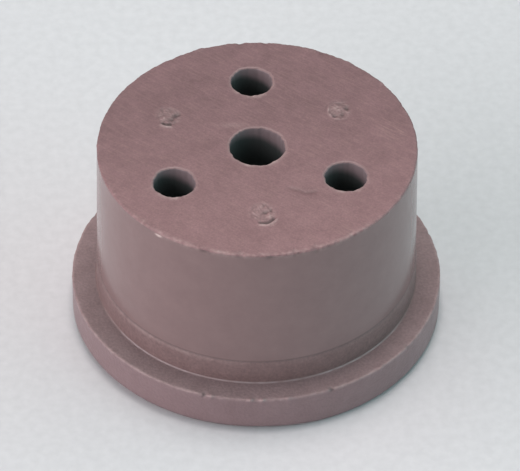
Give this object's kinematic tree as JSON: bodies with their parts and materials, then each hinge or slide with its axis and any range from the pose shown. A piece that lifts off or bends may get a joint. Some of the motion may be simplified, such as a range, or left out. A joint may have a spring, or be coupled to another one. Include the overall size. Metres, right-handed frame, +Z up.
{
  "type": "rubber stopper",
  "caption": "Flanged rubber stopper: a slightly tapered round plug on a flat flange, with a centre bore and a ring of smaller bores right through that grip tubing.",
  "frame": {"origin": "centre of the flange's flat base, the face that the stopper stands on", "axes": "+Z runs up the axis, from the flange's base to the plug's end face; +Y points from the axis to one of the tube bores"},
  "size_m": [0.0272, 0.0272, 0.0153],
  "materials": {
    "brown_rubber": "moulded brown rubber: polished plug wall, fine-grained band and flange, ground end face"
  },
  "bodies": {
    "root": {"stopper": "brown_rubber"}
  },
  "joints": []
}
